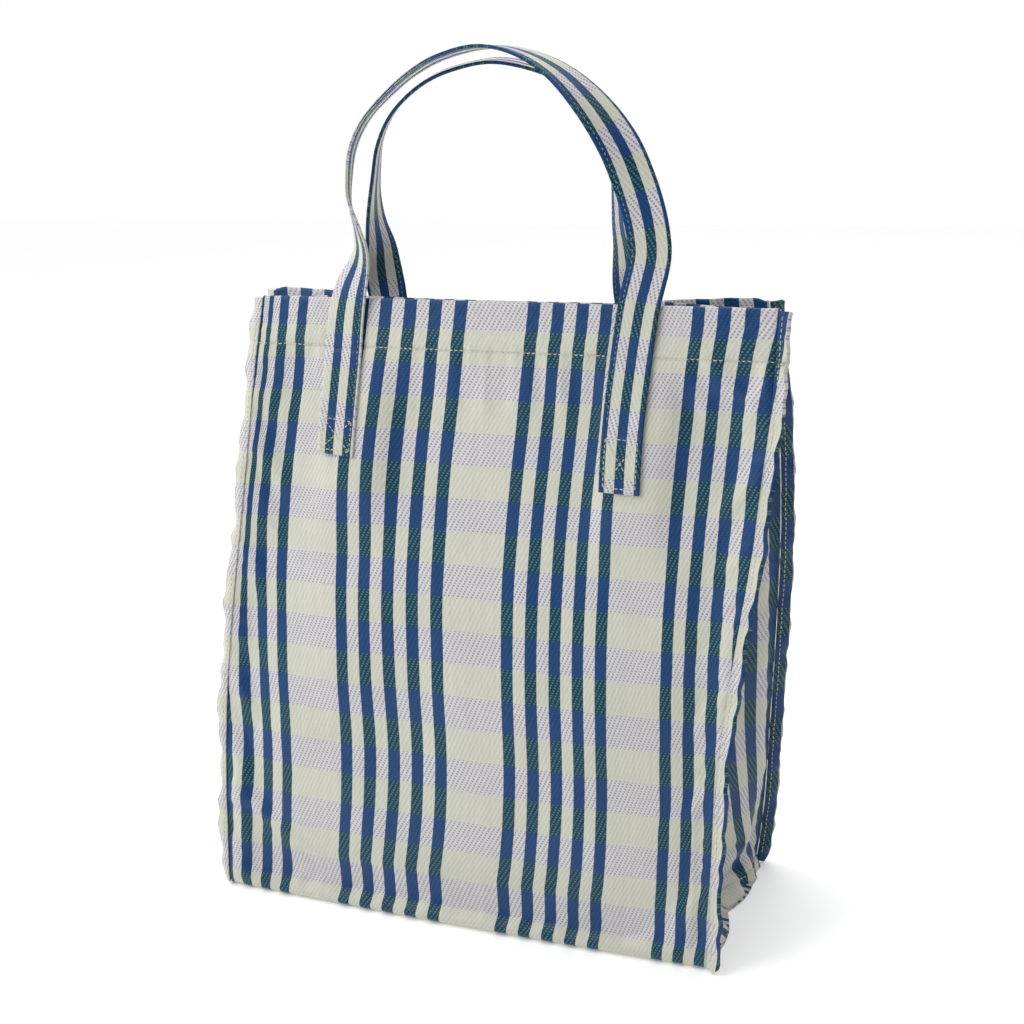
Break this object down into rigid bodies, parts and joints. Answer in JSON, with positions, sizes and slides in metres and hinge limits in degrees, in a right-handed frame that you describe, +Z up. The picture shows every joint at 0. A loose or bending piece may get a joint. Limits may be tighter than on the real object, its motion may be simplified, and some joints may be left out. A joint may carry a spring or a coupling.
{
  "type": "tote bag",
  "caption": "Boxy open-topped tote bag of plaid woven plastic-tape cloth, with side gussets, a stitched hem and folded strap handles sewn on with crossed boxes.",
  "frame": {"origin": "middle of the base, on the surface the bag stands on", "axes": "+X to the bag's right as seen from the front, -Y towards the front, +Z up"},
  "size_m": [0.355, 0.141, 0.5528],
  "materials": {
    "bag_cloth": "satin",
    "seam_cloth": "satin",
    "strap_cloth": "satin",
    "thread": "matte"
  },
  "bodies": {
    "base": {"base_panel": "bag_cloth", "right_gusset": "bag_cloth", "left_gusset": "bag_cloth", "right_base_seam": "seam_cloth", "left_base_seam": "seam_cloth", "base_seam_thread": "thread"},
    "front_wall": {"front_panel": "bag_cloth", "front_hem": "bag_cloth", "front_right_seam": "seam_cloth", "front_left_seam": "seam_cloth", "front_hem_thread": "thread", "front_seam_thread": "thread", "front_right_tab": "strap_cloth", "front_left_tab": "strap_cloth", "front_box_thread": "thread"},
    "back_wall": {"back_panel": "bag_cloth", "back_hem": "bag_cloth", "back_right_seam": "seam_cloth", "back_left_seam": "seam_cloth", "back_hem_thread": "thread", "back_seam_thread": "thread", "back_right_tab": "strap_cloth", "back_left_tab": "strap_cloth", "back_box_thread": "thread"},
    "front_legs": {"front_right_leg": "strap_cloth", "front_left_leg": "strap_cloth", "front_leg_thread": "thread"},
    "front_handle": {"front_loop": "strap_cloth", "front_loop_thread": "thread"},
    "back_legs": {"back_right_leg": "strap_cloth", "back_left_leg": "strap_cloth", "back_leg_thread": "thread"},
    "back_handle": {"back_loop": "strap_cloth", "back_loop_thread": "thread"}
  },
  "joints": [
    {"name": "mouth", "type": "hinge", "parent": "base", "child": "front_wall", "pos_m": [0, -0.07, 0], "axis": [1, 0, 0], "range_deg": [-2.8, 5.2], "deforming": ["right_gusset", "left_gusset"]},
    {"name": "back_wall_lean", "type": "hinge", "parent": "base", "child": "back_wall", "pos_m": [0, 0.07, 0], "axis": [-1, 0, 0], "range_deg": [-2.8, 5.2]},
    {"name": "front_handle_fold", "type": "hinge", "parent": "front_wall", "child": "front_legs", "pos_m": [0, -0.03668, 0.32673], "axis": [1, 0, 0], "range_deg": [0, 165]},
    {"name": "front_handle_lean", "type": "hinge", "parent": "front_legs", "child": "front_handle", "pos_m": [0, -0.02738, 0.40116], "axis": [1, 0, 0], "range_deg": [-18, 10]},
    {"name": "back_handle_fold", "type": "hinge", "parent": "back_wall", "child": "back_legs", "pos_m": [0, 0.03668, 0.32673], "axis": [-1, 0, 0], "range_deg": [0, 165]},
    {"name": "back_handle_lean", "type": "hinge", "parent": "back_legs", "child": "back_handle", "pos_m": [0, 0.02738, 0.40116], "axis": [-1, 0, 0], "range_deg": [-18, 10]}
  ],
  "couplings": [
    {"joint": "back_wall_lean", "follows": "mouth", "ratio": 1},
    {"joint": "front_handle_lean", "follows": "mouth", "ratio": -3.4},
    {"joint": "back_handle_lean", "follows": "mouth", "ratio": -3.4}
  ]
}
